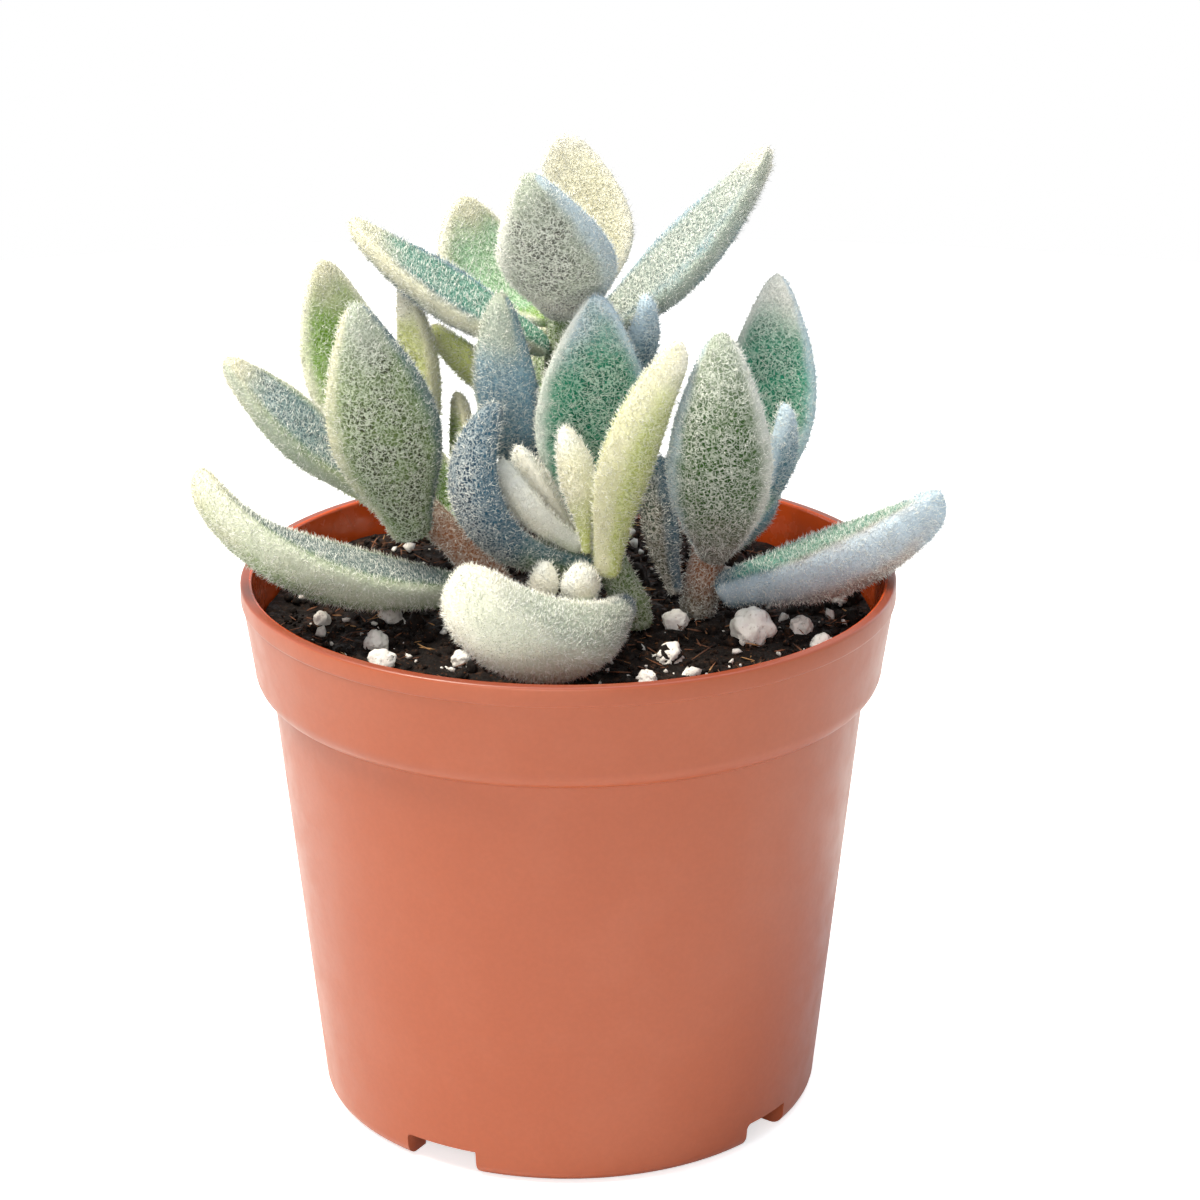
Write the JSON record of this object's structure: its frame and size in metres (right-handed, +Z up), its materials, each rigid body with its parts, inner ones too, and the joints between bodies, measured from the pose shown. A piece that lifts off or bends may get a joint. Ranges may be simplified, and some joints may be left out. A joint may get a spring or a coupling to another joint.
{
  "type": "potted kalanchoe",
  "caption": "Small branching succulent with thick felted leaves in pale green and blue, planted in potting soil in a round tapered plastic nursery pot with a rim band.",
  "frame": {"origin": "centre of the pot's base, on the surface that the pot stands on", "axes": "+Z up along the pot's axis; the plant's front, as in the picture, faces -Y; +X is to the right seen from the front"},
  "size_m": [0.0741, 0.065, 0.0961],
  "materials": {
    "pot_plastic": "satin terracotta-coloured plastic",
    "potting_soil": "matt, crumbly and fibrous",
    "perlite": "matt, porous",
    "stem_bark": "matt, short-haired",
    "sage_leaf": "felted with pale hairs",
    "green_leaf": "felted with pale hairs",
    "cream_leaf": "felted with pale hairs",
    "teal_leaf": "felted with pale hairs",
    "blue_leaf": "felted with pale hairs"
  },
  "bodies": {
    "root": {"pot": "pot_plastic", "soil": "potting_soil", "left_stem": "stem_bark", "back_stem": "stem_bark", "front_stem": "stem_bark", "right_stem": "stem_bark", "bud_stem": "stem_bark", "left_front_leaf": "sage_leaf", "left_outer_leaf": "sage_leaf", "left_rear_leaf": "green_leaf", "left_rear_narrow_leaf": "cream_leaf", "left_inner_leaf": "green_leaf", "left_low_leaf": "sage_leaf", "left_low_rear_leaf": "sage_leaf", "back_front_leaf": "sage_leaf", "back_rear_leaf": "cream_leaf", "back_right_leaf": "cream_leaf", "back_rear_left_leaf": "sage_leaf", "back_left_leaf": "blue_leaf", "back_small_right_leaf": "blue_leaf", "back_low_left_leaf": "green_leaf", "back_low_front_leaf": "blue_leaf", "back_low_rear_leaf": "sage_leaf", "back_mid_rear_leaf": "sage_leaf", "back_low_right_leaf": "blue_leaf", "front_rear_leaf": "teal_leaf", "front_left_leaf": "blue_leaf", "front_right_leaf": "cream_leaf", "front_low_leaf": "cream_leaf", "young_left_leaf": "cream_leaf", "young_rear_leaf": "sage_leaf", "young_top_leaf": "cream_leaf", "bud_left_leaf": "cream_leaf", "bud_right_leaf": "cream_leaf", "right_front_leaf": "green_leaf", "right_rear_leaf": "teal_leaf", "right_small_leaf": "blue_leaf", "right_inner_leaf": "teal_leaf", "right_low_leaf": "blue_leaf", "right_low_rear_leaf": "sage_leaf", "perlite_1": "perlite", "perlite_2": "perlite", "perlite_3": "perlite", "perlite_4": "perlite", "perlite_5": "perlite", "perlite_6": "perlite", "perlite_7": "perlite", "perlite_8": "perlite", "perlite_9": "perlite", "perlite_10": "perlite", "perlite_11": "perlite", "perlite_12": "perlite", "perlite_13": "perlite", "perlite_14": "perlite"}
  },
  "joints": []
}
